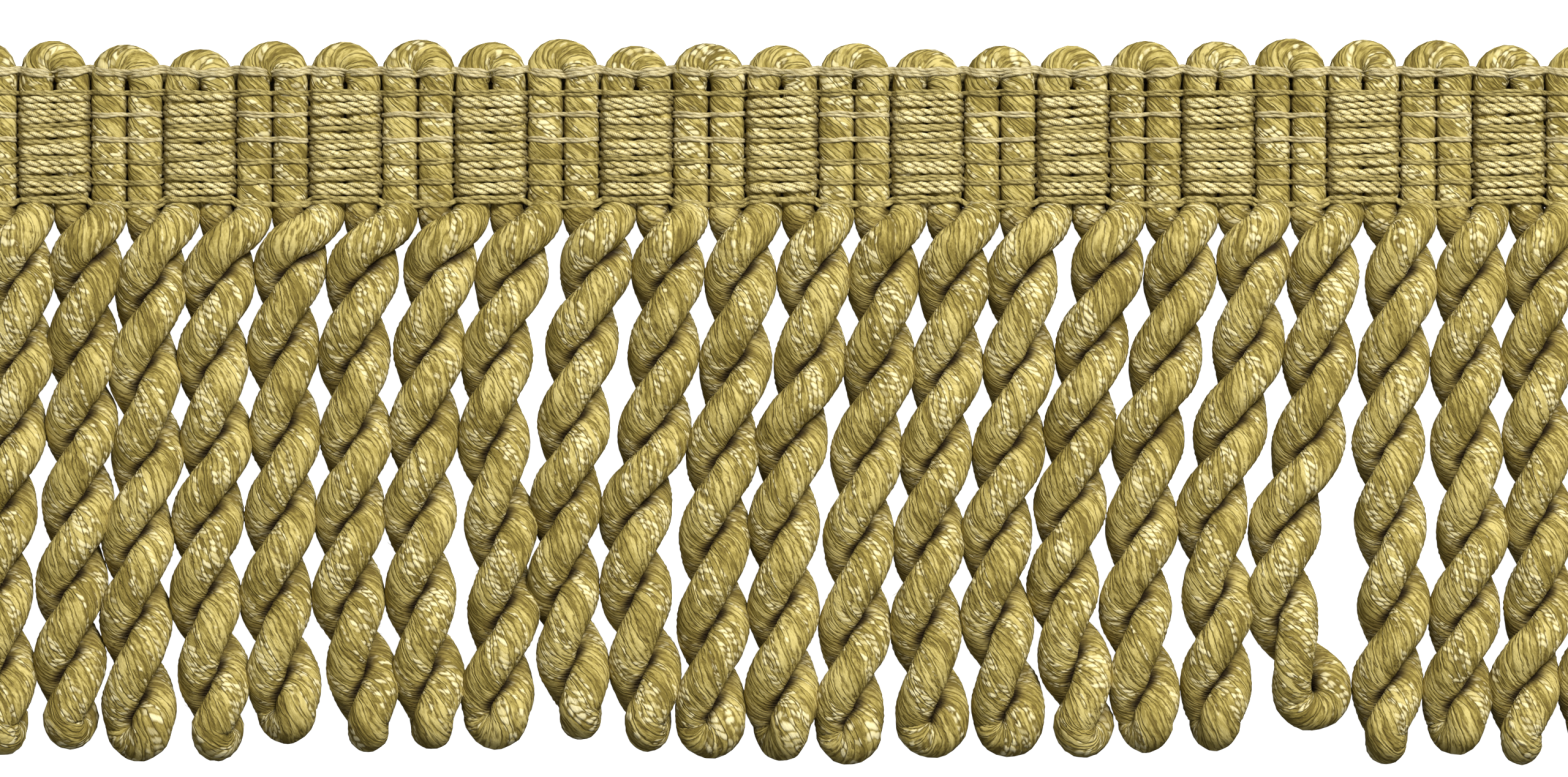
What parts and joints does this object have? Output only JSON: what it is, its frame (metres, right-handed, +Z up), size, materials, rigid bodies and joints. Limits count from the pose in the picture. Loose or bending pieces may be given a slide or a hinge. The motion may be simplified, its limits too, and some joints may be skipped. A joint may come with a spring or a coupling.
{
  "type": "cord fringe trim",
  "caption": "Length of bullion fringe trim: a looped cord with an arched top edge, a bound heading and a row of twisted bullions, lying flat.",
  "frame": {"origin": "centre of the trim's bounding box on the surface it lies on", "axes": "+X along the trim, +Y from the bullions' tips towards the arches, +Z up to the face of the trim"},
  "size_m": [0.192, 0.0762, 0.0064],
  "materials": {
    "khaki_cord": "matte plied cord of khaki yarn with shiny flecks",
    "shiny_thread": "shiny twisted two-ply thread",
    "pale_binder": "pale soft matte thread"
  },
  "bodies": {
    "root": {"bullion_cord": "khaki_cord", "fancy_warps": "shiny_thread", "edge_binder": "pale_binder", "foot_binder": "khaki_cord"}
  },
  "joints": []
}
